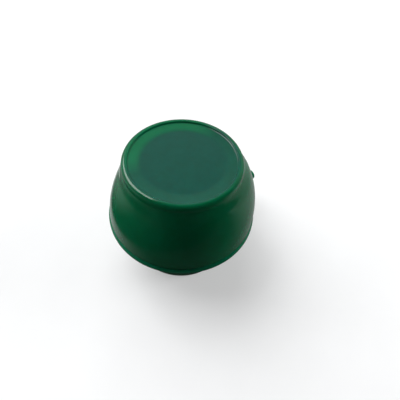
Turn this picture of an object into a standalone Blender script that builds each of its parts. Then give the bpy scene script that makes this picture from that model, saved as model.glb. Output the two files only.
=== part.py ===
"""Squeeze bulb that fills a pipette, standing on its foot.

A soft bell-shaped bulb is clamped round a valve body. The body holds a pipette socket
in its hub, a suction valve and an exhaust valve, and a vent button in a boss at the side.
A foot cup is screwed on from below. Lengths are in millimetres and become metres as each
piece is made. The origin is at the bottom, midway between the rim and the vent button,
+Z is up and the vent button points along +X.
"""

import math

import bpy
from mathutils import Vector

MM = 0.001
GAP = 0.3                      # left between pieces that touch
ROUND = 48                     # facets round the large pieces
FACET_TURN = 4.0               # degrees that a cutter's facets are turned by

# Bulb
RIM_R = 30.0                   # outer radius of the clamp ring
RIM_Z = 20.8                   # height of the rim above the table
DOME_H = 30.0                  # rim to the lip round the top
TOP_Z = RIM_Z + DOME_H
LIP_R = 20.8                   # crest of the lip
COLLAR_R = 22.55               # widest part of the rounded collar under the lip
SHOULDER_R = 23.5              # where the crown meets the wall
WALL_R = 29.5                  # wall just above the clamp ring
WALL = 2.0                     # thickness of the soft wall
DISC_R = 16.2                  # flat middle of the crown
DISC_DROP = 1.2                # depth of the flat middle below the lip
CROWN_DROP = 3.6               # lip to the bottom of the crown
NECK_R = 27.2                  # wall where the clamp ring reaches over it
BEAD_R = 28.0                  # bead at the foot of the wall
BEAD_IN_R = 26.0
BEAD_TOP = RIM_Z + 0.4

# Foot and valve body
FOOT_R = 21.0
FOOT_EDGE_R = 1.0              # rounding of the foot's bottom edge
FOOT_WALL = 2.0
FLOOR = 2.2                    # thickness of the foot cup's floor
PLATE_TOP = RIM_Z - 0.6
PLATE_BOTTOM = RIM_Z - 3.0
PLATE_R = 26.9
CUP_TOP = PLATE_BOTTOM - GAP

# Pipette socket
HUB_R = 8.2
SOCKET_R = 6.8
HUB_BOTTOM = 2.1
LEDGE_Z = RIM_Z - 7.9          # ledge above the filter
FILTER_T = 1.0
CHAMBER_R = 4.6
CHAMBER_TOP = RIM_Z - 4.9
NUT_R = HUB_R + GAP + 0.8
NUT_BOTTOM = 0.5
NUT_TOP = 10.0
LEAD_IN_R = 4.6                # hole in the nut where the pipette enters

# Suction valve, on the axis of the bulb
SUCTION_PORT_R = 1.3
SUCTION_BALL_R = 2.0
SUCTION_SEAT_Z = RIM_Z - 2.3   # bottom of its 45 degree seat
SUCTION_SEAT_H = 1.2
CAGE_BORE_R = 2.7

# Exhaust valve
EXHAUST_AT = 13.5              # distance from the axis of the bulb
EXHAUST_AZIMUTH = 120.0
EXHAUST_PORT_R = 1.0
EXHAUST_BORE_R = 2.4
EXHAUST_BALL_R = 1.7
EXHAUST_SEAT_Z = RIM_Z - 2.7   # top of its 45 degree seat
EXHAUST_BOTTOM = RIM_Z - 10.9

# Side vent, whose lengths are measured out from the axis of the bulb
VENT_Z = RIM_Z - 6.3
VENT_REACH = 42.0              # tip of the button
BOSS_R = 3.4
BOSS_END = 35.2
BORE_R = 2.5
BORE_START = 16.0
DUCT_R = 0.9
VALVE_SEAT = (21.0, 23.2)      # both faces of the seat that the seal is pulled against
STEM_R = 0.5
STEM_HEAD = (17.9, 19.0)       # both faces of the head that holds the seal
STEM_END = 35.0
SLEEVE_R = 1.3
SLEEVE_START = 29.0
BUTTON_R = 2.4

# Screws
SCREW_AT = 14.5
SCREW_AZIMUTHS = (60.0, 180.0, 300.0)
POST_R = 3.0
POST_TOP = RIM_Z - 8.8
SCREW_R = 1.05
SCREW_HEAD = (0.6, 2.3)        # bottom and top of its head
SCREW_HEAD_R = 2.3
SCREW_TOP = RIM_Z - 5.1

AXIS_X = (RIM_R - VENT_REACH) / 2   # axis of the bulb, so that the box is centred on the origin


def clear_scene():
    for old in list(bpy.data.objects):
        bpy.data.objects.remove(old, do_unlink=True)


def new_collection(name):
    made = bpy.data.collections.new(name)
    bpy.context.scene.collection.children.link(made)
    return made


def plain_material(name, colour, roughness, metallic=0.0):
    made = bpy.data.materials.new(name)
    made.use_nodes = True
    shader = made.node_tree.nodes["Principled BSDF"]
    shader.inputs["Base Color"].default_value = (*colour, 1.0)
    shader.inputs["Roughness"].default_value = roughness
    shader.inputs["Metallic"].default_value = metallic
    return made


def around(distance, azimuth, height=0.0):
    """A place at this distance and azimuth from the axis of the bulb."""
    angle = math.radians(azimuth)
    return (AXIS_X + distance * math.cos(angle), distance * math.sin(angle), height)


def arc(centre, radius, start, end, count):
    """Points of a profile on an arc, angles in degrees from +X towards +Z."""
    points = []
    for i in range(count + 1):
        angle = math.radians(start + (end - start) * i / count)
        points.append((centre[0] + radius * math.cos(angle), centre[1] + radius * math.sin(angle)))
    return points


def bezier(a, b, c, d, count):
    """Points of a profile on a cubic curve from a to d."""
    points = []
    for i in range(count + 1):
        t = i / count
        s = 1.0 - t
        weights = (s ** 3, 3 * s * s * t, 3 * s * t * t, t ** 3)
        points.append(tuple(sum(w * p[k] for w, p in zip(weights, (a, b, c, d))) for k in (0, 1)))
    return points


def place(obj, at, along, into):
    """Stand a piece made along +Z at a place, and lay it along +X if asked."""
    obj.location = Vector(at) * MM
    if along == "X":
        obj.rotation_euler = (0.0, math.radians(90.0), 0.0)
    into.objects.link(obj)
    return obj


def turned(name, profile, steps, at=(AXIS_X, 0.0, 0.0), along="Z", into=None, material=None):
    """A turned piece. The profile of (radius, height) runs down its outer side."""
    mesh = bpy.data.meshes.new(name)
    links = [(i, i + 1) for i in range(len(profile) - 1)]
    if profile[0][0] > 0.0:
        links.append((len(profile) - 1, 0))
    mesh.from_pydata([(r * MM, 0.0, h * MM) for r, h in profile], links, [])
    obj = place(bpy.data.objects.new(name, mesh), at, along, into or parts)
    screw = obj.modifiers.new("turn", "SCREW")
    screw.axis = "Z"
    screw.steps = steps
    screw.render_steps = steps
    screw.use_merge_vertices = True
    screw.merge_threshold = 0.00001
    screw.use_smooth_shade = True
    if material:
        mesh.materials.append(material)
    return obj


def rod(name, radius, low, high, at=(AXIS_X, 0.0, 0.0), along="Z", steps=20):
    """A plain cylinder among the cutters, turned a little so that no facets line up."""
    profile = [(0.0, high), (radius, high), (radius, low), (0.0, low)]
    made = hide(turned(name, profile, steps, at, along, cutters))
    made.rotation_euler.rotate_axis("Z", math.radians(FACET_TURN))
    return made


def hide(obj):
    obj.hide_render = True
    obj.display_type = "WIRE"
    return obj


def boolean(obj, tool, operation):
    step = obj.modifiers.new(f"{operation.lower()} {tool.name}", "BOOLEAN")
    step.operation = operation
    step.object = tool
    step.solver = "EXACT"


def coil(name, radius, wire, low, high, turns, at, along, material):
    """A compression spring as a helix of round wire, with its ends capped."""
    sides = 9
    count = turns * sides + 1
    curve = bpy.data.curves.new(name, "CURVE")
    curve.dimensions = "3D"
    curve.bevel_depth = wire * MM
    curve.bevel_resolution = 1
    curve.use_fill_caps = True
    line = curve.splines.new("POLY")
    line.points.add(count - 1)
    start, end = low + wire, high - wire
    for i, point in enumerate(line.points):
        angle = 2.0 * math.pi * i / sides
        height = start + (end - start) * i / (count - 1)
        x, y = radius * math.cos(angle), radius * math.sin(angle)
        point.co = (x * MM, y * MM, height * MM, 1.0)
    curve.materials.append(material)
    return place(bpy.data.objects.new(name, curve), at, along, parts)


# Soft bulb ---------------------------------------------------------------------------

def bulb_crown(material):
    """Dished top with a raised lip and a rounded collar."""
    floor = TOP_Z - DISC_DROP
    lip = arc((LIP_R, TOP_Z - 0.35), 0.35, 170.0, 40.0, 4)
    collar = arc((COLLAR_R - 1.9, TOP_Z - 2.3), 1.9, 55.0, -10.0, 4)
    bottom = TOP_Z - CROWN_DROP
    profile = [(0.0, floor), (DISC_R, floor), (LIP_R - 0.9, floor + 0.4), (LIP_R - 0.6, floor + 0.3)]
    profile += lip + collar
    profile += [(SHOULDER_R - 0.3, bottom + 0.55), (SHOULDER_R, bottom)]
    profile += [(SHOULDER_R - WALL, bottom), (SHOULDER_R - WALL - 0.6, bottom + 0.4), (0.0, floor - WALL)]
    return turned("bulb_crown", profile, ROUND, material=material)


def bulb_wall(material):
    """Bell-shaped wall, from the crown down to the bead under the clamp ring."""
    top = TOP_Z - CROWN_DROP - GAP
    low = RIM_Z + 2.2
    outer = bezier((SHOULDER_R, top), (26.3, RIM_Z + 18.0), (28.9, RIM_Z + 12.0), (WALL_R, low), 7)
    start = (WALL_R - WALL, low + 1.0)
    inner = bezier(start, (26.9, RIM_Z + 12.0), (24.3, RIM_Z + 18.0), (SHOULDER_R - WALL, top), 5)
    foot = [
        (WALL_R - 0.3, RIM_Z + 1.8),
        (NECK_R, RIM_Z + 1.8),
        (NECK_R, BEAD_TOP),
        (BEAD_R, BEAD_TOP),
        (BEAD_R, RIM_Z - GAP),
        (BEAD_IN_R, RIM_Z - GAP),
        (BEAD_IN_R, RIM_Z + 2.0),
    ]
    return turned("bulb_wall", outer + foot + inner, ROUND, material=material)


def clamp_ring(material):
    """Snap ring that holds the bead of the bulb down on the valve body."""
    under = BEAD_R + GAP
    profile = [
        (NECK_R + GAP, RIM_Z + 1.5),
        (RIM_R - 1.0, RIM_Z + 1.5),
        (RIM_R - 0.35, RIM_Z + 1.15),
        (RIM_R, RIM_Z + 0.4),
        (RIM_R, RIM_Z - 0.3),
        (RIM_R - 0.35, RIM_Z - 1.0),
        (RIM_R - 1.6, RIM_Z - 2.6),
        (RIM_R - 2.7, RIM_Z - 2.6),
        (RIM_R - 2.7, RIM_Z - 2.2),
        (under, RIM_Z - 2.2),
        (under, BEAD_TOP + GAP),
        (NECK_R + GAP, BEAD_TOP + GAP),
    ]
    return turned("clamp_ring", profile, ROUND, material=material)


# Valve body and foot -----------------------------------------------------------------

def valve_body(material):
    """Plate that closes the bulb, with the socket hub, valve seats, bosses and vent boss."""
    spigot = BEAD_IN_R - GAP
    spigot_top = RIM_Z + 1.6
    step = PLATE_TOP - 1.3
    profile = [
        (SUCTION_PORT_R + SUCTION_SEAT_H, PLATE_TOP),
        (spigot - 1.1, PLATE_TOP),
        (spigot - 1.1, spigot_top),
        (spigot, spigot_top),
        (spigot, PLATE_TOP),
        (BEAD_R, PLATE_TOP),
        (BEAD_R, step),
        (PLATE_R, step),
        (PLATE_R, PLATE_BOTTOM),
        (HUB_R, PLATE_BOTTOM),
        (HUB_R, HUB_BOTTOM),
        (SOCKET_R, HUB_BOTTOM),
        (SOCKET_R, LEDGE_Z),
        (CHAMBER_R, LEDGE_Z),
        (CHAMBER_R, CHAMBER_TOP),
        (SUCTION_PORT_R, CHAMBER_TOP),
        (SUCTION_PORT_R, SUCTION_SEAT_Z),
        (SUCTION_PORT_R + SUCTION_SEAT_H, SUCTION_SEAT_Z + SUCTION_SEAT_H),
    ]
    body = turned("valve_body", profile, ROUND, material=material)
    inside = PLATE_BOTTOM + 1.0
    bore_top = SCREW_TOP + 0.8

    boolean(body, rod("vent_boss", BOSS_R, HUB_R - 1.0, BOSS_END, (AXIS_X, 0.0, VENT_Z), "X", 24), "UNION")
    for number, azimuth in enumerate(SCREW_AZIMUTHS, 1):
        at = around(SCREW_AT, azimuth)
        boolean(body, rod(f"screw_boss_{number}", POST_R, POST_TOP + GAP, inside, at), "UNION")
        boolean(body, rod(f"screw_bore_{number}", SCREW_R + GAP, 0.0, bore_top, at, steps=16), "DIFFERENCE")

    at = around(EXHAUST_AT, EXHAUST_AZIMUTH)
    boolean(body, rod("exhaust_boss", EXHAUST_BORE_R + 1.6, EXHAUST_BOTTOM, inside, at), "UNION")
    seat_low = EXHAUST_SEAT_Z - (EXHAUST_BORE_R - EXHAUST_PORT_R)
    passage = [
        (0.0, PLATE_TOP + 1.0),
        (EXHAUST_PORT_R, PLATE_TOP + 1.0),
        (EXHAUST_PORT_R, EXHAUST_SEAT_Z),
        (EXHAUST_BORE_R, seat_low),
        (EXHAUST_BORE_R, EXHAUST_BOTTOM - 1.0),
        (0.0, EXHAUST_BOTTOM - 1.0),
    ]
    boolean(body, hide(turned("exhaust_passage", passage, 24, at, into=cutters)), "DIFFERENCE")

    bore = [
        (0.0, BOSS_END + 1.0),
        (BORE_R, BOSS_END + 1.0),
        (BORE_R, BORE_START),
        (DUCT_R, BORE_START),
        (DUCT_R, CHAMBER_R - 1.0),
        (0.0, CHAMBER_R - 1.0),
    ]
    passage = turned("vent_passage", bore, 24, (AXIS_X, 0.0, VENT_Z), "X", cutters)
    boolean(body, hide(passage), "DIFFERENCE")
    return body


def foot_cup(material):
    """Cup that the bulb stands on, with posts for the screws and a notch for the vent boss."""
    hole = NUT_R + GAP
    profile = [
        (FOOT_R - FOOT_WALL, CUP_TOP),
        (FOOT_R, CUP_TOP),
        *arc((FOOT_R - FOOT_EDGE_R, FOOT_EDGE_R), FOOT_EDGE_R, 0.0, -90.0, 4),
        (hole, 0.0),
        (hole, FLOOR),
        (FOOT_R - FOOT_WALL, FLOOR),
    ]
    well_r = SCREW_HEAD_R + GAP
    well_top = SCREW_HEAD[1] + GAP
    well = [
        (0.0, POST_TOP + 1.0),
        (SCREW_R + GAP, POST_TOP + 1.0),
        (SCREW_R + GAP, well_top),
        (well_r, well_top),
        (well_r, -1.0),
        (0.0, -1.0),
    ]
    cup = turned("foot_cup", profile, ROUND, material=material)
    for number, azimuth in enumerate(SCREW_AZIMUTHS, 1):
        at = around(SCREW_AT, azimuth)
        boolean(cup, rod(f"post_{number}", POST_R, 1.0, POST_TOP, at), "UNION")
        passage = turned(f"screw_passage_{number}", well, 16, at, into=cutters)
        boolean(cup, hide(passage), "DIFFERENCE")
    for number, azimuth in enumerate((EXHAUST_AZIMUTH - 9.0, EXHAUST_AZIMUTH, EXHAUST_AZIMUTH + 9.0), 1):
        at = around(EXHAUST_AT, azimuth)
        boolean(cup, rod(f"air_hole_{number}", 0.7, -1.0, FLOOR + 1.0, at, steps=12), "DIFFERENCE")
    for number, height in enumerate((VENT_Z, VENT_Z + 3.0), 1):
        notch = rod(f"notch_{number}", BOSS_R + GAP, FOOT_R - 4.0, FOOT_R + 2.0, (AXIS_X, 0.0, height), "X")
        boolean(cup, notch, "DIFFERENCE")
    return cup


def foot_screw(number, azimuth, material):
    """Pan-head screw with a hexagon socket, driven up from below."""
    low, high = SCREW_HEAD
    profile = [
        (0.0, SCREW_TOP),
        (SCREW_R - 0.4, SCREW_TOP),
        (SCREW_R, SCREW_TOP - 0.6),
        (SCREW_R, high),
        (SCREW_HEAD_R, high),
        (SCREW_HEAD_R, low + 0.3),
        (SCREW_HEAD_R - 0.3, low),
        (0.0, low),
    ]
    at = around(SCREW_AT, azimuth)
    screw = turned(f"foot_screw_{number}", profile, 16, at, material=material)
    boolean(screw, rod(f"hex_socket_{number}", 1.1, -1.0, low + 0.9, at, steps=6), "DIFFERENCE")
    return screw


# Pipette socket ----------------------------------------------------------------------

def nose_nut(material):
    """Nut on the end of the hub, with a lead-in for the pipette."""
    skirt = HUB_R + GAP
    plate = HUB_BOTTOM - GAP
    profile = [
        (skirt, NUT_TOP),
        (NUT_R, NUT_TOP),
        (NUT_R, NUT_BOTTOM + 0.5),
        (NUT_R - 0.5, NUT_BOTTOM),
        (LEAD_IN_R + 0.8, NUT_BOTTOM),
        (LEAD_IN_R, NUT_BOTTOM + 0.8),
        (LEAD_IN_R, plate),
        (skirt, plate),
    ]
    return turned("nose_nut", profile, 32, material=material)


def pipette_adapter(material):
    """Soft sleeve with a tapered bore that grips the end of a pipette."""
    top = LEDGE_Z - FILTER_T - 2 * GAP
    profile = [
        (3.5, top),
        (SOCKET_R - GAP, top),
        (SOCKET_R - GAP, HUB_BOTTOM),
        (4.5, HUB_BOTTOM),
        (3.8, HUB_BOTTOM + 1.2),
    ]
    return turned("pipette_adapter", profile, 32, material=material)


def filter_disc(material):
    """Porous disc that keeps liquid out of the valves."""
    high = LEDGE_Z - GAP
    low = high - FILTER_T
    edge = SOCKET_R - 0.4
    profile = [
        (0.0, high),
        (edge - 0.3, high),
        (edge, high - 0.3),
        (edge, low + 0.3),
        (edge - 0.3, low),
        (0.0, low),
    ]
    return turned("filter_disc", profile, 32, material=material)


# Valves ------------------------------------------------------------------------------

def ball(name, radius, at, material):
    """Valve ball, turned from a half circle."""
    profile = arc((0.0, 0.0), radius, 90.0, -90.0, 8)
    profile[0] = (0.0, radius)
    profile[-1] = (0.0, -radius)
    return turned(name, profile, 16, at, material=material)


def suction_valve(metal, plastic):
    """Ball on the seat over the socket, and the cage that limits its lift."""
    reach = (SUCTION_BALL_R + GAP) * math.sqrt(2.0)
    centre = SUCTION_SEAT_Z - SUCTION_PORT_R + reach
    ball("suction_ball", SUCTION_BALL_R, (AXIS_X, 0.0, centre), metal)
    low = PLATE_TOP + GAP
    profile = [
        (0.0, low + 5.2),
        (3.4, low + 5.2),
        (4.2, low + 4.4),
        (4.2, low + 1.2),
        (6.0, low + 1.2),
        (6.0, low),
        (CAGE_BORE_R, low),
        (CAGE_BORE_R, low + 3.9),
        (0.0, low + 3.9),
    ]
    cage = turned("suction_cage", profile, 24, material=plastic)
    for number, azimuth in enumerate(SCREW_AZIMUTHS, 1):
        window = rod(f"cage_window_{number}", 0.9, 1.5, 7.0, (AXIS_X, 0.0, low + 2.6), "X", 12)
        window.rotation_euler = (0.0, math.radians(90.0), math.radians(azimuth + FACET_TURN))
        boolean(cage, window, "DIFFERENCE")


def exhaust_valve(metal, plastic, steel):
    """Ball held up against its seat by a spring that stands on a bored cap."""
    at = around(EXHAUST_AT, EXHAUST_AZIMUTH)
    reach = (EXHAUST_BALL_R + GAP) * math.sqrt(2.0)
    centre = EXHAUST_SEAT_Z + EXHAUST_PORT_R - reach
    ball("exhaust_ball", EXHAUST_BALL_R, (at[0], at[1], centre), metal)
    cap_top = EXHAUST_BOTTOM + 1.5
    outer = EXHAUST_BORE_R - GAP
    cap = [(0.8, cap_top), (outer, cap_top), (outer, EXHAUST_BOTTOM), (0.8, EXHAUST_BOTTOM)]
    turned("exhaust_cap", cap, 24, at, material=plastic)
    coil("exhaust_spring", 1.35, 0.18, cap_top + GAP, centre - 1.45, 4, at, "Z", steel)


def vent_valve(button_material, steel, plastic, rubber):
    """Push button that lifts a seal off its seat inside the side boss."""
    at = (AXIS_X, 0.0, VENT_Z)
    seat_in, seat_out = VALVE_SEAT
    head_in, head_out = STEM_HEAD
    outer = BORE_R - GAP
    seal_in, seal_out = head_out + GAP, seat_in - GAP
    eye = STEM_R + GAP

    seal = [(1.7, seal_out), (1.7, seal_in), (eye, seal_in), (eye, seal_out)]
    turned("vent_seal", seal, 20, at, "X", material=rubber)
    stem = [
        (0.0, STEM_END),
        (STEM_R, STEM_END),
        (STEM_R, head_out),
        (1.3, head_out),
        (1.3, head_in),
        (0.0, head_in),
    ]
    turned("vent_stem", stem, 16, at, "X", material=steel)
    seat = [(1.1, seat_out), (outer, seat_out), (outer, seat_in), (1.1, seat_in)]
    turned("vent_seat", seat, 24, at, "X", material=plastic)
    coil("vent_spring", 1.5, 0.22, seat_out + GAP, SLEEVE_START - GAP, 6, at, "X", steel)

    flange = BOSS_END + GAP
    bush = [
        (SLEEVE_R + GAP, flange + 0.6),
        (BOSS_R, flange + 0.6),
        (BOSS_R, flange),
        (outer, flange),
        (outer, BOSS_END - 3.0),
        (SLEEVE_R + GAP, BOSS_END - 3.0),
    ]
    turned("vent_bush", bush, 24, at, "X", material=plastic)

    cap = flange + 2.0
    button = [(0.0, VENT_REACH), *arc((BUTTON_R - 1.2, VENT_REACH - 1.2), 1.2, 90.0, 0.0, 4)]
    button += [
        (BUTTON_R, cap + 0.3),
        (BUTTON_R - 0.3, cap),
        (SLEEVE_R, cap),
        (SLEEVE_R, SLEEVE_START),
        (eye, SLEEVE_START),
        (eye, STEM_END + GAP),
        (0.0, STEM_END + GAP),
    ]
    turned("vent_button", button, 24, at, "X", material=button_material)


clear_scene()
parts = new_collection("pipette_filler_bulb")
cutters = new_collection("cutters")

bulb_green = plain_material("bulb_green", (0.012, 0.095, 0.055), 0.32)
ring_green = plain_material("ring_green", (0.018, 0.13, 0.075), 0.3)
base_green = plain_material("base_green", (0.01, 0.07, 0.04), 0.42)
valve_white = plain_material("valve_white", (0.75, 0.76, 0.74), 0.45)
soft_grey = plain_material("soft_grey", (0.55, 0.57, 0.56), 0.6)
filter_white = plain_material("filter_white", (0.86, 0.86, 0.84), 0.9)
seal_black = plain_material("seal_black", (0.02, 0.02, 0.02), 0.6)
steel = plain_material("steel", (0.6, 0.6, 0.6), 0.25, 1.0)

bulb_crown(bulb_green)
bulb_wall(bulb_green)
clamp_ring(ring_green)
valve_body(base_green)
foot_cup(base_green)
for count, direction in enumerate(SCREW_AZIMUTHS, 1):
    foot_screw(count, direction, steel)
nose_nut(base_green)
pipette_adapter(soft_grey)
filter_disc(filter_white)
suction_valve(steel, valve_white)
exhaust_valve(steel, valve_white, steel)
vent_valve(ring_green, steel, valve_white, seal_black)
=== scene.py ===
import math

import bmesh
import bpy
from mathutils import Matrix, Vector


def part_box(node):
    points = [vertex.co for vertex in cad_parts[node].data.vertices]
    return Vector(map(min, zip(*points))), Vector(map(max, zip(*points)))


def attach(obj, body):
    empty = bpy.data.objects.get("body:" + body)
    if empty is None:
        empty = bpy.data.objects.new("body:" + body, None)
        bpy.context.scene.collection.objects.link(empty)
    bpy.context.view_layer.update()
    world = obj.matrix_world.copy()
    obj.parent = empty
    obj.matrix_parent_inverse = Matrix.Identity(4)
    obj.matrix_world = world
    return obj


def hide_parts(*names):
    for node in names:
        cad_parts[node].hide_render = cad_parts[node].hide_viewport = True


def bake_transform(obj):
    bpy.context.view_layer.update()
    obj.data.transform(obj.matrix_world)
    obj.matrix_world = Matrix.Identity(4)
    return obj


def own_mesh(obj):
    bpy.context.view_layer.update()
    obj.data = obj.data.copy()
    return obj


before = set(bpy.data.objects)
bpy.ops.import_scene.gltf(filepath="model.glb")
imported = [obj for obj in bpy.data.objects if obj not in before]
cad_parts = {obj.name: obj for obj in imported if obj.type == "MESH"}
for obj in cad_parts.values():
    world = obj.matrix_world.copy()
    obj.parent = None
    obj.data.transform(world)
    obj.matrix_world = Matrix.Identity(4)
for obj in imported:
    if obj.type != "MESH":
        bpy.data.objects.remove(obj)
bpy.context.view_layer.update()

# Looks of a squeeze bulb that fills a pipette. The soft bulb is one skin from the base to
# the crown. The pieces that show are turned again here with rounded edges, the springs are
# copies of their CAD nodes, and the other small pieces inside keep their solids and get
# their materials. Lengths are in millimetres until a mesh is made, and in metres for the
# lights and the floor's size.

MM = 0.001


def span(node):
    """A node's box at rest, in millimetres."""
    low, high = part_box(node)
    return low / MM, high / MM


def half_width(node):
    low, high = span(node)
    return (high.y - low.y) / 2


def plan(node):
    """A node's middle as seen from above, at height zero."""
    low, high = span(node)
    return Vector(((low.x + high.x) / 2, (low.y + high.y) / 2, 0.0))


RING_LOW, RING_HIGH = span("clamp_ring")
AXIS = Vector(((RING_LOW.x + RING_HIGH.x) / 2, 0.0, 0.0))
RIM_R = half_width("clamp_ring")
RIM_Z = RING_HIGH.z - 1.5
TOP_Z = span("bulb_crown")[1].z
CROWN_LOW = span("bulb_crown")[0].z
SHOULDER_R = half_width("bulb_crown")
WALL_R = half_width("bulb_wall")
WALL_LOW = span("bulb_wall")[0].z
FOOT_R = half_width("foot_cup")
FOOT_TOP = span("foot_cup")[1].z
BODY_LOW, BODY_HIGH = span("valve_body")
BUTTON_LOW, BUTTON_HIGH = span("vent_button")
VENT_Z = (BUTTON_LOW.z + BUTTON_HIGH.z) / 2
BUTTON_R = half_width("vent_button")
PLASTIC_IOR = 1.48
WALL = 2.0                     # thickness of the soft bulb
DISC_R = 15.6                  # flat middle of the top
DISH = 1.1                     # depth of the dish at its middle
LIP_R = 20.6                   # crest of the lip
COLLAR_R = 22.35
COLLAR_ROLL = 2.0              # height of the collar's round edge
GATE = (2.83, -3.36)           # moulding gate's mark on the disc, from the axis
LIT_RING_SIDE = Vector((0.04, 1.0, 0.0))   # side towards the key light, where the ring round the disc is painted lighter
LEAN = Vector((0.73, -0.68, 0.0))       # the soft wall leans this way, by this much
STEP_Z = RIM_Z - 0.6           # top of the valve body's plate
LEDGE_Z = RIM_Z - 7.9          # ledge over the filter
PLATE_LOW = RIM_Z - 3.0
VENT_AXIS = AXIS + Vector((0.0, 0.0, VENT_Z))
BOSS_R = 3.4                   # vent boss and the bush in it
POST_R = 3.0                   # screw posts
FEED_R = 1.35                  # hole for a screw's thread
SCREWS = [name for name in sorted(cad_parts) if name.startswith("foot_screw")]

# Camera and light
VIEW_AZIMUTH = -43.0           # degrees round from looking along +Y
VIEW_DOWN = 52.06              # degrees below the horizon
VIEW_ROLL = 4.95
LENS = 34.5
DISTANCE = 5.473               # camera to the aimed point, in rim radii
AIM_RIGHT, AIM_AWAY = 0.243, 0.175      # aimed point from the axis, in rim radii
PURE_WHITE = (1.0, 1.0, 1.0, 1.0)
FLOOR_WIDTH = 3.0              # metres
FLOOR_TONE, FLOOR_TONE_2 = (0.44, 0.445, 0.45), (0.46, 0.465, 0.47)
FLOOR_LIFT = 0.40
BOUNCE, BOUNCE_LEFT = 0.36, 1.1
SKY_BACK, SKY_ROOM, SKY_LEFT = 1.1, 0.02, 0.05


# Outlines and meshes -----------------------------------------------------------------

def bezier(a, b, c, d, count):
    """Points on a cubic curve from a to d."""
    points = []
    for i in range(count + 1):
        t = i / count
        s = 1.0 - t
        weights = (s ** 3, 3 * s * s * t, 3 * s * t * t, t ** 3)
        points.append(tuple(sum(w * p[k] for w, p in zip(weights, (a, b, c, d))) for k in (0, 1)))
    return points


def smooth(value):
    """Zero below 0, one above 1, and an even curve between."""
    value = min(max(value, 0.0), 1.0)
    return value * value * (3.0 - 2.0 * value)


def rounded(corners, closed=False, turn=12.0):
    """An outline of (radius, height, rounding) corners, with an arc at each rounded one."""
    outline = []
    count = len(corners)
    for i, corner in enumerate(corners):
        here = Vector(corner[:2])
        radius = corner[2] if len(corner) > 2 else 0.0
        if radius <= 0.0 or (not closed and i in (0, count - 1)):
            outline.append(tuple(here))
            continue
        before = Vector(corners[i - 1][:2]) - here
        after = Vector(corners[(i + 1) % count][:2]) - here
        angle = before.angle(after)
        reach = min(radius / math.tan(angle / 2), 0.48 * before.length, 0.48 * after.length)
        radius = reach * math.tan(angle / 2)
        before.normalize()
        after.normalize()
        centre = here + (before + after).normalized() * (radius / math.sin(angle / 2))
        first = here + before * reach - centre
        last = here + after * reach - centre
        sweep = first.angle_signed(last)
        steps = max(2, math.ceil(abs(math.degrees(sweep)) / turn))
        for k in range(steps + 1):
            outline.append(tuple(centre + Matrix.Rotation(-sweep * k / steps, 2) @ first))
    return outline


def lathe(name, outline, steps=144, at=AXIS, along="Z"):
    """A turned mesh, from an outline of (radius, height) that runs down its outer side."""
    bm = bmesh.new()
    rows = []
    for radius, height in outline:
        if radius < 1e-6:
            rows.append([bm.verts.new((0.0, 0.0, height))])
            continue
        row = []
        for i in range(steps):
            angle = 2.0 * math.pi * i / steps
            row.append(bm.verts.new((radius * math.cos(angle), radius * math.sin(angle), height)))
        rows.append(row)
    pairs = list(zip(rows, rows[1:]))
    if len(rows[0]) > 1:
        pairs.append((rows[-1], rows[0]))
    for upper, lower in pairs:
        for i in range(steps):
            k = (i + 1) % steps
            if len(upper) == 1:
                corners = (upper[0], lower[i], lower[k])
            elif len(lower) == 1:
                corners = (upper[k], upper[i], lower[0])
            else:
                corners = (upper[k], upper[i], lower[i], lower[k])
            bm.faces.new(corners)
    if along == "X":
        bm.transform(Matrix.Rotation(math.radians(90.0), 4, "Y"))
    bm.transform(Matrix.Scale(MM, 4) @ Matrix.Translation(at))
    return finished(name, bm)


def finished(name, bm):
    """A new object with this mesh, smooth but for its sharp edges."""
    mesh = bpy.data.meshes.new(name)
    bm.normal_update()
    bm.to_mesh(mesh)
    bm.free()
    mesh.shade_smooth()
    mesh.set_sharp_from_angle(angle=math.radians(38.0))
    obj = bpy.data.objects.new(name, mesh)
    bpy.context.scene.collection.objects.link(obj)
    return obj


def cut(obj, tools, operation="DIFFERENCE", edge=0.0):
    """Cut the tools out of a piece, or join them to it, and round its sharp edges by edge."""
    for tool in tools:
        step = obj.modifiers.new("cut", "BOOLEAN")
        step.operation = operation
        step.object = tool
        step.solver = "EXACT"
    if edge:
        bevel = obj.modifiers.new("edge", "BEVEL")
        bevel.width = edge * MM
        bevel.segments = 2
        bevel.limit_method = "ANGLE"
        bevel.angle_limit = math.radians(50.0)
    bpy.context.view_layer.update()
    seen = obj.evaluated_get(bpy.context.evaluated_depsgraph_get())
    mesh = bpy.data.meshes.new_from_object(seen)
    obj.modifiers.clear()
    obj.data = mesh
    for tool in tools:
        bpy.data.objects.remove(tool)


def rod(radius, low, high, at=AXIS, along="Z", steps=48):
    """A plain cylinder for cut()."""
    return lathe("tool", [(0.0, high), (radius, high), (radius, low), (0.0, low)], steps, at, along)


# Materials ---------------------------------------------------------------------------

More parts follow.
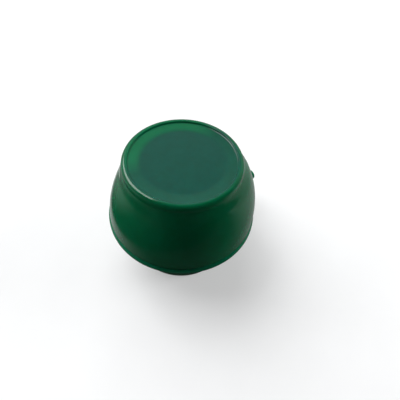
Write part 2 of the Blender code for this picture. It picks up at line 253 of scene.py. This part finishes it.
class Nodes:
    """Short names for building one material's nodes."""

    def __init__(self, name):
        self.material = bpy.data.materials.new(name)
        self.material.use_nodes = True
        self.tree = self.material.node_tree
        self.shader = self.tree.nodes["Principled BSDF"]
        self.place = self.tree.nodes.new("ShaderNodeTexCoord").outputs["Object"]

    def add(self, kind, inputs=None, **settings):
        node = self.tree.nodes.new(kind)
        for key, value in settings.items():
            setattr(node, key, value)
        for key, value in (inputs or {}).items():
            if isinstance(value, bpy.types.NodeSocket):
                self.tree.links.new(value, node.inputs[key])
            else:
                node.inputs[key].default_value = value
        return node

    def noise(self, size, detail=4.0, roughness=0.55, stretch=(1.0, 1.0, 1.0)):
        """Noise whose features are about this many millimetres across."""
        scaled = self.add("ShaderNodeMapping", {"Vector": self.place, "Scale": stretch})
        made = self.add("ShaderNodeTexNoise", {
            "Vector": scaled.outputs["Vector"], "Scale": 1.0 / (size * MM),
            "Detail": detail, "Roughness": roughness,
        })
        return made.outputs["Fac"]

    def ramp(self, value, low, high, start=0.35, end=0.65):
        """A number or a colour that goes from low to high as the value does."""
        steps = self.add("ShaderNodeMapRange", {"Value": value, "From Min": start, "From Max": end})
        if isinstance(low, tuple):
            return self.mixed(steps.outputs["Result"], low, high)
        steps.inputs["To Min"].default_value = low
        steps.inputs["To Max"].default_value = high
        return steps.outputs["Result"]

    def bump(self, height, depth, normal=None):
        """Relief of this many millimetres."""
        inputs = {"Height": height, "Distance": depth * MM, "Strength": 1.0}
        if normal is not None:
            inputs["Normal"] = normal
        return self.add("ShaderNodeBump", inputs).outputs["Normal"]

    def math(self, operation, a, b=0.0):
        return self.add("ShaderNodeMath", {0: a, 1: b}, operation=operation).outputs[0]

    def along(self, vector, direction):
        """How far a vector reaches along a direction."""
        inputs = {0: vector, 1: tuple(direction)}
        return self.add("ShaderNodeVectorMath", inputs, operation="DOT_PRODUCT").outputs["Value"]

    def rise(self, value, start, end, high=1.0):
        """Zero up to start, then a smooth climb to high at end."""
        inputs = {"Value": value, "From Min": start, "From Max": end, "To Max": high}
        step = self.add("ShaderNodeMapRange", inputs, interpolation_type="SMOOTHSTEP")
        return step.outputs["Result"]

    def total(self, *values):
        result = values[0]
        for value in values[1:]:
            result = self.math("ADD", result, value)
        return result

    def product(self, *values):
        result = values[0]
        for value in values[1:]:
            result = self.math("MULTIPLY", result, value)
        return result

    def from_axis(self):
        """The place in millimetres, measured from the foot of the bulb's axis."""
        inputs = {0: self.place, 1: tuple(-AXIS * MM)}
        moved = self.add("ShaderNodeVectorMath", inputs, operation="ADD").outputs["Vector"]
        inputs = {0: moved, 1: (1.0 / MM,) * 3}
        return self.add("ShaderNodeVectorMath", inputs, operation="MULTIPLY").outputs["Vector"]

    def distance(self, vector, x=0.0, y=0.0):
        """Distance in plan from a vertical line through x, y."""
        across = self.math("SUBTRACT", self.along(vector, (1.0, 0.0, 0.0)), x)
        deep = self.math("SUBTRACT", self.along(vector, (0.0, 1.0, 0.0)), y)
        return self.math("SQRT", self.total(self.product(across, across), self.product(deep, deep)))

    def mixed(self, share, low, high):
        """A colour between two others, each a colour or a socket."""
        mix = self.add("ShaderNodeMix", {"Factor": share}, data_type="RGBA")
        for place, colour in ((6, low), (7, high)):
            if isinstance(colour, bpy.types.NodeSocket):
                self.tree.links.new(colour, mix.inputs[place])
            else:
                mix.inputs[place].default_value = (*colour, 1.0)
        return mix.outputs[2]

    def set(self, **inputs):
        """Values or links for the shader's inputs, with _ for each space in a name."""
        for key, value in inputs.items():
            socket = self.shader.inputs[key.replace("_", " ")]
            if isinstance(value, bpy.types.NodeSocket):
                self.tree.links.new(value, socket)
            else:
                socket.default_value = value
        return self.material


def moulded(name, dark, light, gloss, glow, grain=0.35, relief=0.006):
    """Moulded plastic or rubber: cloudy colour, hazy gloss, fine grain and a few faint scuffs."""
    n = Nodes(name)
    cloud = n.noise(9.0, 3.0)
    colour = n.ramp(cloud, dark, light)
    handled = n.noise(4.0, 6.0, 0.7)
    fine = n.noise(grain, 3.0, 0.6)
    swell = n.noise(6.0, 1.0)
    normal = n.bump(swell, relief * 6.0)
    normal = n.bump(fine, relief, normal)
    n.set(Base_Color=colour, Roughness=n.ramp(handled, gloss - 0.04, gloss + 0.06), Normal=normal)
    n.set(IOR=PLASTIC_IOR)
    if glow:
        n.set(Subsurface_Weight=glow, Subsurface_Scale=2.0 * MM, Subsurface_Radius=(0.25, 1.0, 0.55))
    return n.material


def bulb_rubber():
    """Dark green elastomer: glossy walls, a hazy disc on top, and a ring round the disc painted lighter on
    the side towards the key light, as painted light standing in for light shining through the rim.
    """
    n = Nodes("bulb_green")
    spot = n.from_axis()
    radius = n.distance(spot)
    on_top = n.rise(radius, LIP_R + 0.6, LIP_R - 0.2)
    # Painted light: the ring round the disc is mixed towards a lighter green on the side towards the key
    # light, and only a little on the far side, standing in for light that shines through the rim.
    side = n.math("DIVIDE", n.along(spot, LIT_RING_SIDE), radius)
    clear = n.total(n.rise(side, 0.15, 0.65, 0.85), 0.15)
    clear = n.product(clear, n.rise(radius, DISC_R - 0.9, DISC_R + 1.9))
    cloud = n.noise(9.0, 3.0)
    wall = n.ramp(cloud, (0.0003, 0.090, 0.034), (0.0004, 0.100, 0.040))
    ring = n.ramp(cloud, (0.0003, 0.112, 0.044), (0.0004, 0.122, 0.049))
    disc = n.ramp(n.noise(3.0, 5.0, 0.6), (0.0004, 0.055, 0.037), (0.0007, 0.060, 0.042))
    # Painted shade: a thin darker ring at the foot of the lip's inner slope, where the shade of a groove
    # would fall; no groove is modelled there.
    shaded_groove_r, soft = 19.75, 0.35
    line = n.product(n.rise(radius, shaded_groove_r - soft, shaded_groove_r), n.rise(radius, shaded_groove_r + soft, shaded_groove_r), 0.5)
    colour = n.mixed(on_top, wall, n.mixed(clear, disc, ring))
    colour = n.mixed(line, colour, (0.0005, 0.045, 0.028))
    handled = n.noise(5.0, 6.0, 0.7)
    rough = n.total(n.ramp(handled, 0.12, 0.15), n.product(on_top, 0.03))
    fine = n.product(n.noise(0.35, 3.0, 0.6), n.total(0.12, n.product(on_top, 0.4)))
    swell = n.noise(14.0, 1.0)
    gate = n.rise(n.distance(spot, *GATE), 0.7, 0.15)
    normal = n.bump(swell, 0.03)
    normal = n.bump(fine, 0.006, normal)
    normal = n.bump(gate, -0.06, normal)
    n.set(Base_Color=colour, Roughness=rough, Normal=normal, IOR=PLASTIC_IOR)
    n.set(Subsurface_Weight=0.35, Subsurface_Scale=2.0 * MM, Subsurface_Radius=(0.2, 1.0, 0.5))
    return n.material


def metal(name, colour, gloss):
    """Turned stainless steel with fine rings and soft blotches."""
    n = Nodes(name)
    blotch = n.noise(1.5, 4.0)
    lines = n.noise(0.12, 2.0, 0.5, (0.15, 0.15, 1.0))
    dark = tuple(c * 0.85 for c in colour)
    n.set(Base_Color=n.ramp(blotch, dark, colour), Metallic=1.0)
    n.set(Roughness=n.ramp(lines, gloss, gloss + 0.12), Normal=n.bump(lines, 0.004))
    return n.material


def membrane(name):
    """Porous white filter: a felt of tiny beads."""
    n = Nodes(name)
    bead = 0.35
    inputs = {"Vector": n.place, "Scale": 1.0 / (bead * MM)}
    beads = n.add("ShaderNodeTexVoronoi", inputs).outputs["Distance"]
    # Painted shade: the colour darkens from each bead's middle into the low gaps between the beads.
    n.set(Base_Color=n.ramp(beads, (0.9, 0.9, 0.87), (0.6, 0.6, 0.57), 0.0, 0.7), Roughness=0.95)
    n.set(Normal=n.bump(n.ramp(beads, 1.0, 0.0, 0.0, 0.6), 0.08))
    return n.material


BULB = bulb_rubber()
RING = moulded("ring_green", (0.0005, 0.125, 0.056), (0.0008, 0.140, 0.064), 0.16, 0.35)
BASE = moulded("base_green", (0.0004, 0.052, 0.018), (0.0006, 0.062, 0.022), 0.30, 0.15, 0.25, 0.01)
WHITE = moulded("valve_white", (0.72, 0.72, 0.69), (0.78, 0.78, 0.75), 0.42, 0.1)
GREY = moulded("soft_grey", (0.5, 0.52, 0.51), (0.58, 0.6, 0.59), 0.5, 0.4)
BLACK = moulded("seal_black", (0.012, 0.012, 0.012), (0.022, 0.022, 0.022), 0.55, 0.0)
STEEL = metal("steel", (0.62, 0.61, 0.59), 0.22)
FILTER = membrane("filter_white")


def dress(obj, material, body, slot, *nodes):
    """Give a new piece its material, its body and the nodes it stands for."""
    obj.data.materials.clear()
    obj.data.materials.append(material)
    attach(obj, body)
    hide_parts(*nodes)


# Soft bulb ---------------------------------------------------------------------------

def bulb_outline():
    """The skin's outline: dished top, lip, collar, bell wall, bead, and back up the inside."""
    top = [
        (0.0, TOP_Z - DISH),
        (DISC_R, TOP_Z - DISH + 0.04, 8.0),
        (LIP_R - 0.75, TOP_Z - 0.62, 0.5),
        (LIP_R - 0.4, TOP_Z - 0.08, 0.2),
    ]
    roll_start, steps = LIP_R + 0.2, 12
    for k in range(steps + 1):
        turn = math.radians(90.0 * k / steps)
        radius = roll_start + (COLLAR_R - roll_start) * math.sin(turn)
        top.append((radius, TOP_Z - COLLAR_ROLL * (1.0 - math.cos(turn))))
    top.append((COLLAR_R + 0.02, TOP_Z - 2.7, 0.7))
    outer = bezier(
        (COLLAR_R + 0.38, TOP_Z - 3.4), (25.8, RIM_Z + 20.3), (28.9, RIM_Z + 13.4), (29.3, RIM_Z + 4.0), 28)
    foot = [
        (WALL_R, RIM_Z + 2.1, 0.8),
        (WALL_R - 0.25, RIM_Z + 1.75, 0.2),
        (27.2, RIM_Z + 1.75, 0.2),
        (27.2, RIM_Z + 0.4, 0.15),
        (28.0, RIM_Z + 0.4, 0.15),
        (28.0, WALL_LOW, 0.2),
        (26.0, WALL_LOW, 0.2),
        (26.0, RIM_Z + 2.0, 0.5),
        (WALL_R - WALL, RIM_Z + 3.2, 1.0),
    ]
    inner = bezier(
        (WALL_R - WALL - 0.1, RIM_Z + 5.0), (26.8, RIM_Z + 13.0), (23.7, RIM_Z + 20.0),
        (SHOULDER_R - WALL, CROWN_LOW - 0.4), 18)
    roof = [
        (SHOULDER_R - WALL - 0.1, CROWN_LOW + 0.35, 0.6),
        (DISC_R, TOP_Z - 3.5, 1.5),
        (0.0, TOP_Z - 3.5),
    ]
    return rounded(top + outer + foot + inner + roof)


def divided(outline, length):
    """The same outline with its long runs cut into equal parts, so that the skin's lean can shape it there.
    """
    fine = []
    for a, b in zip(outline, outline[1:]):
        parts = int(math.dist(a, b) // length) + 1
        fine += [tuple(Vector(a).lerp(Vector(b), k / parts)) for k in range(parts)]
    return fine + [outline[-1]]


def soft_bulb():
    """One skin from the pressed crown to the bead held by the clamp ring."""
    skin = lathe("bulb_skin", divided(bulb_outline(), 1.6), 200)
    for vertex in skin.data.vertices:
        below = TOP_Z - vertex.co.z / MM
        leaning = smooth((below - 2.6) / 5.0) * (1.0 - smooth((below - 9.0) / 22.0))
        vertex.co += LEAN * leaning * MM
    dress(skin, BULB, "base", "bulb_green", "bulb_crown", "bulb_wall")
    skin.parent = None
    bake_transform(skin)


def clamp_band():
    """Snap ring round the rim, a slim bead that shows under the wall."""
    corners = [
        (27.5, RIM_Z + 1.5, 0.15),
        (RIM_R - 0.75, RIM_Z + 1.5, 0.45),
        (RIM_R - 0.02, RIM_Z + 0.6, 0.9),
        (RIM_R, RIM_Z - 0.55, 0.8),
        (RIM_R - 1.7, RIM_Z - 2.6, 0.4),
        (RIM_R - 2.7, RIM_Z - 2.6, 0.15),
        (RIM_R - 2.7, RIM_Z - 2.2, 0.1),
        (28.3, RIM_Z - 2.2, 0.1),
        (28.3, RIM_Z + 0.7, 0.1),
        (27.5, RIM_Z + 0.7, 0.1),
    ]
    band = lathe("clamp_band", rounded(corners, True), 200)
    dress(band, RING, "base", "ring_green", "clamp_ring")


# Base --------------------------------------------------------------------------------

def foot_shell():
    """Foot cup with rounded edge, screw wells, air holes and the notch for the vent boss."""
    nut_hole = half_width("nose_nut") + 0.3
    inside = FOOT_R - 2.0
    floor_top = 2.2
    corners = [
        (inside, FOOT_TOP, 0.3),
        (FOOT_R, FOOT_TOP, 0.4),
        (FOOT_R, 0.0, 1.0),
        (FOOT_R - 4.0, 0.0, 0.0),
        (FOOT_R - 4.3, 0.25, 0.1),
        (nut_hole + 1.2, 0.25, 0.1),
        (nut_hole + 0.9, 0.0, 0.0),
        (nut_hole, 0.0, 0.3),
        (nut_hole, floor_top, 0.2),
        (inside, floor_top, 0.8),
    ]
    shell = lathe("foot_shell", rounded(corners, True))
    posts, holes = [], []
    post_top = RIM_Z - 8.8
    for name in SCREWS:
        at = plan(name)
        posts.append(rod(POST_R, 1.0, post_top, at))
        well = [(0.0, post_top + 1.0), (FEED_R, post_top + 1.0), (FEED_R, 2.6), (2.6, 2.6)]
        well += [(2.6, 0.45), (2.9, 0.15), (2.9, -1.0), (0.0, -1.0)]
        holes.append(lathe("tool", well, 40, at))
    away = plan("exhaust_cap") - AXIS
    for turn in (-9.0, 0.0, 9.0):
        at = AXIS + Matrix.Rotation(math.radians(turn), 3, "Z") @ away
        holes.append(rod(0.7, -1.0, 3.2, at, steps=24))
    for height in (VENT_Z, VENT_Z + 3.0):
        holes.append(rod(3.7, FOOT_R - 4.0, FOOT_R + 2.0, AXIS + Vector((0.0, 0.0, height)), "X"))
    cut(shell, posts, "UNION")
    cut(shell, holes, edge=0.15)
    dress(shell, BASE, "base", "base_green", "foot_cup")


def nose_cap():
    """Nut round the socket, with flutes to turn it by and a lead-in for the pipette."""
    radius = half_width("nose_nut")
    low, high = span("nose_nut")
    corners = [
        (8.5, high.z, 0.15),
        (radius, high.z, 0.2),
        (radius, low.z, 0.5),
        (5.6, low.z, 0.4),
        (4.6, low.z + 1.0, 0.25),
        (4.6, low.z + 1.3, 0.1),
        (8.5, low.z + 1.3, 0.1),
    ]
    cap = lathe("nose_cap", rounded(corners, True), 120)
    holes = []
    for turn in range(45, 405, 90):
        at = AXIS + Matrix.Rotation(math.radians(turn), 3, "Z") @ Vector((7.2, 0.0, 0.0))
        holes.append(rod(0.6, -1.0, low.z + 0.7, at, steps=24))
    cut(cap, holes, edge=0.1)
    dress(cap, BASE, "base", "base_green", "nose_nut")


def soft_sleeve():
    """Pipette adapter with sealing ribs in its tapered bore."""
    radius = half_width("pipette_adapter")
    low, high = span("pipette_adapter")
    bore, mouth, rib = 3.85, 4.6, 3.55
    corners = [(rib, high.z, 0.2), (radius, high.z, 0.3), (radius, low.z, 0.3), (mouth, low.z, 0.4)]
    corners.append((bore, low.z + 1.3, 0.3))
    for k in range(3):
        z = low.z + 2.0 + 1.2 * k
        corners += [(bore, z, 0.15), (rib, z + 0.3, 0.12), (bore, z + 0.6, 0.15)]
    sleeve = lathe("soft_sleeve", rounded(corners, True), 96)
    dress(sleeve, GREY, "base", "soft_grey", "pipette_adapter")


def base_shell():
    """Valve body: flange under the bulb, hub for the socket, valve bosses and vent boss."""
    seat = RIM_Z - 2.3
    bead_in, bead_out, flange = 24.6, 25.7, 28.0
    hub, hub_bore, drain, throat = 8.2, 6.8, 4.6, 1.3
    corners = [
        (2.5, STEP_Z, 0.1),
        (bead_in, STEP_Z, 0.3),
        (bead_in, BODY_HIGH.z, 0.3),
        (bead_out, BODY_HIGH.z, 0.3),
        (bead_out, STEP_Z, 0.1),
        (flange, STEP_Z, 0.2),
        (flange, RIM_Z - 1.9, 0.2),
        (flange - 1.1, RIM_Z - 1.9, 0.1),
        (flange - 1.1, PLATE_LOW, 0.3),
        (hub, PLATE_LOW, 0.6),
        (hub, BODY_LOW.z, 0.2),
        (hub_bore, BODY_LOW.z, 0.2),
        (hub_bore, LEDGE_Z, 0.1),
        (drain, LEDGE_Z, 0.1),
        (drain, LEDGE_Z + 3.0, 0.3),
        (throat, LEDGE_Z + 3.0, 0.1),
        (throat, seat, 0.0),
        (2.5, seat + 1.2, 0.0),
    ]
    body = lathe("base_shell", rounded(corners, True))
    boss_end = BODY_HIGH.x - AXIS.x
    rim = [(0.0, boss_end, 0.0), (BOSS_R, boss_end, 0.35), (BOSS_R, 7.2, 0.0), (0.0, 7.2, 0.0)]
    solids = [lathe("tool", rounded(rim), 64, VENT_AXIS, "X")]
    holes = []
    for name in SCREWS:
        place = plan(name)
        solids.append(rod(POST_R, RIM_Z - 8.5, PLATE_LOW + 1.0, place))
        holes.append(rod(FEED_R, 0.0, RIM_Z - 4.3, place, steps=24))
    exhaust = plan("exhaust_cap")
    exhaust_low = span("exhaust_cap")[0].z
    solids.append(rod(4.0, exhaust_low, PLATE_LOW + 1.0, exhaust))
    valve = RIM_Z - 2.7
    passage = [(0.0, STEP_Z + 1.0), (1.0, STEP_Z + 1.0), (1.0, valve), (2.4, valve - 1.4)]
    passage += [(2.4, exhaust_low - 1.0), (0.0, exhaust_low - 1.0)]
    holes.append(lathe("tool", passage, 32, exhaust))
    bore = [(0.0, boss_end + 1.0), (2.5, boss_end + 1.0), (2.5, 16.0), (0.9, 16.0), (0.9, 3.6), (0.0, 3.6)]
    holes.append(lathe("tool", bore, 40, VENT_AXIS, "X"))
    cut(body, solids, "UNION")
    cut(body, holes)
    dress(body, BASE, "base", "base_green", "valve_body")


def hex_screw(name):
    """Pan-head screw with a hexagon socket and a thread."""
    low, high = span(name)
    at = plan(name)
    head_top = low.z + 1.7
    corners = [(0.0, high.z, 0.0), (0.6, high.z, 0.1)]
    z = high.z - 0.5
    while z > head_top + 1.2:
        corners += [(1.05, z, 0.05), (0.85, z - 0.22, 0.05)]
        z -= 0.45
    corners += [(1.05, head_top + 0.7, 0.0), (1.05, head_top, 0.0), (2.3, head_top, 0.1)]
    corners += [(2.3, low.z + 0.4, 0.35), (1.7, low.z, 0.3), (0.0, low.z, 0.0)]
    screw = lathe(f"{name}_turned", rounded(corners), 40, at)
    socket = lathe("tool", [(0.0, low.z + 0.9), (1.1, low.z + 0.9), (1.1, -1.0), (0.0, -1.0)], 6, at)
    cut(screw, [socket], edge=0.06)
    dress(screw, STEEL, "base", "steel", name)


# Vent --------------------------------------------------------------------------------

def vent_cap():
    """Push button with a dished tip and a finger ridge, on its sleeve."""
    start = BUTTON_LOW.x - AXIS.x
    tip = BUTTON_HIGH.x - AXIS.x
    cap = tip - 4.5
    sleeve, bore = 1.3, 0.8
    stem_end = span("vent_stem")[1].x - AXIS.x + 0.3
    corners = [
        (0.0, tip - 0.25, 0.0),
        (1.0, tip - 0.2, 0.8),
        (1.6, tip, 0.4),
        (BUTTON_R, tip - 0.1, 0.7),
        (BUTTON_R, cap, 0.3),
        (sleeve, cap, 0.3),
        (sleeve, start, 0.1),
        (bore, start, 0.1),
        (bore, stem_end, 0.1),
        (0.0, stem_end, 0.0),
    ]
    button = lathe("vent_cap", rounded(corners), 72, VENT_AXIS, "X")
    dress(button, RING, "vent_valve", "ring_green", "vent_button")


def guide_bush():
    """Flanged bush in the boss that the button's sleeve slides in."""
    low, high = span("vent_bush")
    inner, sleeve = 1.6, 2.2
    start, end = low.x - AXIS.x, high.x - AXIS.x
    corners = [
        (inner, end, 0.15),
        (BOSS_R, end, 0.2),
        (BOSS_R, end - 0.6, 0.1),
        (sleeve, end - 0.6, 0.1),
        (sleeve, start, 0.15),
        (inner, start, 0.15),
    ]
    bush = lathe("guide_bush", rounded(corners, True), 64, VENT_AXIS, "X")
    dress(bush, WHITE, "base", "valve_white", "vent_bush")


def working_spring(name):
    """A copy of a spring node with a mesh of its own, in steel, where the node stands."""
    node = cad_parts[name]
    coil = bpy.data.objects.new(f"{name}_coil", node.data.copy())
    bpy.context.scene.collection.objects.link(coil)
    coil.matrix_world = node.matrix_world.copy()
    dress(coil, STEEL, "base", "steel", name)
    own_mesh(coil)


def kept_nodes():
    """Materials for the CAD pieces inside, which keep their solids."""
    looks = {
        "suction_ball": STEEL, "exhaust_ball": STEEL, "vent_stem": STEEL, "suction_cage": WHITE,
        "exhaust_cap": WHITE, "vent_seat": WHITE, "vent_seal": BLACK, "filter_disc": FILTER,
    }
    for name, material in looks.items():
        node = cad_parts[name]
        node.data.materials.clear()
        node.data.materials.append(material)


# Studio ------------------------------------------------------------------------------

def studio_axes():
    """Directions on the floor to the camera's right and away from it."""
    a = math.radians(VIEW_AZIMUTH)
    return Vector((math.cos(a), math.sin(a), 0.0)), Vector((-math.sin(a), math.cos(a), 0.0))


def camera():
    """The camera, aimed at a point in the rim's plane beside the axis."""
    right, away = studio_axes()
    aim = AXIS + Vector((0.0, 0.0, RIM_Z)) + (right * AIM_RIGHT + away * AIM_AWAY) * RIM_R
    down = math.radians(VIEW_DOWN)
    look = away * math.cos(down) - Vector((0.0, 0.0, math.sin(down)))
    data = bpy.data.cameras.new("camera")
    data.lens = LENS
    data.clip_start = 0.01
    made = bpy.data.objects.new("camera", data)
    bpy.context.scene.collection.objects.link(made)
    roll = Matrix.Rotation(math.radians(VIEW_ROLL), 3, "Z").to_quaternion()
    made.rotation_mode = "QUATERNION"
    made.rotation_quaternion = look.to_track_quat("-Z", "Y") @ roll
    made.location = (aim - look * DISTANCE * RIM_R) * MM
    bpy.context.scene.camera = made


def towards(azimuth, elevation):
    """A direction given by its angle round from the camera's right towards away, and its height."""
    right, away = studio_axes()
    a, e = math.radians(azimuth), math.radians(elevation)
    return (right * math.cos(a) + away * math.sin(a)) * math.cos(e) + Vector((0.0, 0.0, math.sin(e)))


def soft_light(name, direction, distance, size, power):
    """A square softbox that stands this far from the object in the given direction."""
    data = bpy.data.lights.new(name, "AREA")
    data.shape = "SQUARE"
    data.size = size
    data.energy = power
    made = bpy.data.objects.new(name, data)
    bpy.context.scene.collection.objects.link(made)
    made.location = AXIS * MM + direction * distance
    made.rotation_mode = "QUATERNION"
    made.rotation_quaternion = (-direction).to_track_quat("-Z", "Y")
    return made


class Light(Nodes):
    """Nodes for the floor and the sky, whose light on the object is set apart from their looks."""

    def __init__(self, tree):
        self.tree = tree
        self.place = self.add("ShaderNodeTexCoord").outputs["Object"]

    def ray(self, kind):
        """One for the rays of this kind, and zero for the others."""
        return self.add("ShaderNodeLightPath").outputs[f"Is {kind} Ray"]


def white_floor():
    """White table. The camera sees it evenly lit; the object mirrors its bright parts and gets its bounce."""
    bm = bmesh.new()
    bmesh.ops.create_grid(bm, x_segments=1, y_segments=1, size=FLOOR_WIDTH / 2)
    floor = finished("floor", bm)
    material = bpy.data.materials.new("floor_white")
    material.use_nodes = True
    material.node_tree.nodes.clear()
    n = Light(material.node_tree)
    right, away = studio_axes()
    spot = n.from_axis()
    x, y = n.along(spot, right), n.along(spot, away)
    reach = n.distance(spot)
    beyond = n.math("MAXIMUM", n.math("SUBTRACT", x, 20.0), 0.0)
    left = n.math("MINIMUM", n.math("SUBTRACT", x, 20.0), 0.0)
    near = n.math("MINIMUM", n.total(y, n.product(beyond, 0.45)), 0.0)
    lit_left, lit_near = 73.0, 85.0
    left_part = n.product(left, left, 1.0 / lit_left ** 2)
    near_part = n.product(near, near, 1.0 / lit_near ** 2)
    inside = n.rise(n.math("SQRT", n.total(left_part, near_part)), 1.04, 0.96)
    to_light = n.along(spot, (away - right) * 0.7071)
    strip = n.product(inside, n.rise(y, -50.0, 12.0), n.rise(x, -15.0, -32.0), 0.5)
    to_back = n.along(spot, right * 0.35 + away * 0.94)
    right_side = n.product(n.rise(to_back, -20.0, 55.0), n.rise(x, -5.0, 40.0), 0.38)
    disc = n.product(inside, n.total(right_side, 0.035))
    far_left = n.rise(to_light, 42.0, 92.0, 0.38)
    leftward = n.math("DIVIDE", n.product(x, -1.0), reach)
    horizon = n.product(n.rise(reach, 120.0, 260.0, 0.10), n.rise(leftward, 0.2, 0.9))
    mirrored = n.total(strip, disc, far_left, horizon)
    bounce = n.total(n.rise(to_light, -30.0, 35.0, BOUNCE_LEFT), BOUNCE)
    inputs = {0: n.ray("Glossy"), 2: bounce, 3: mirrored}
    given = n.add("ShaderNodeMix", inputs, data_type="FLOAT").outputs[0]
    dusty = n.noise(40.0)
    looks = n.add("ShaderNodeBsdfDiffuse", {"Color": n.ramp(dusty, FLOOR_TONE, FLOOR_TONE_2)})
    lift = n.add("ShaderNodeEmission", {"Color": PURE_WHITE, "Strength": FLOOR_LIFT})
    both = n.add("ShaderNodeAddShader", {0: looks.outputs[0], 1: lift.outputs[0]})
    glow = n.add("ShaderNodeEmission", {"Color": PURE_WHITE, "Strength": given})
    pick = n.add("ShaderNodeMixShader", {"Fac": n.ray("Camera"), 1: glow.outputs[0], 2: both.outputs[0]})
    out = n.add("ShaderNodeOutputMaterial")
    n.tree.links.new(pick.outputs[0], out.inputs["Surface"])
    floor.data.materials.append(material)


def sky():
    """White to the camera; for the object a soft panel behind it that fades overhead, and a dim room."""
    world = bpy.data.worlds.new("studio")
    bpy.context.scene.world = world
    world.use_nodes = True
    n = Light(world.node_tree)
    background = n.tree.nodes["Background"]
    ray = n.add("ShaderNodeTexCoord").outputs["Generated"]
    up = n.along(ray, (0.0, 0.0, 1.0))
    back = n.along(ray, towards(100.0, 0.0))
    fade = n.math("SUBTRACT", 1.03, up)
    panel = n.product(fade, n.rise(back, -0.1, 0.55), n.rise(up, 0.12, 0.3), SKY_BACK)
    room = n.total(SKY_ROOM, n.rise(n.along(ray, towards(165.0, 20.0)), 0.2, 1.0, SKY_LEFT))
    given = n.total(panel, room)
    strength = n.add("ShaderNodeMix", {0: n.ray("Camera"), 2: given, 3: 1.0}, data_type="FLOAT")
    n.tree.links.new(strength.outputs[0], background.inputs["Strength"])
    background.inputs["Color"].default_value = PURE_WHITE


def studio():
    soft_light("key", towards(156.0, 50.0), 1.2, 0.9, 14.5)
    soft_light("back", towards(110.0, 45.0), 1.2, 0.9, 9.5).visible_glossy = False
    soft_light("fill", towards(15.0, 15.0), 1.0, 0.45, 7.6).visible_glossy = False
    white_floor()
    sky()
    bpy.context.scene.view_settings.view_transform = "Standard"


camera()
studio()
soft_bulb()
clamp_band()
foot_shell()
base_shell()
nose_cap()
soft_sleeve()
for screw_node in SCREWS:
    hex_screw(screw_node)
vent_cap()
guide_bush()
working_spring("vent_spring")
working_spring("exhaust_spring")
kept_nodes()
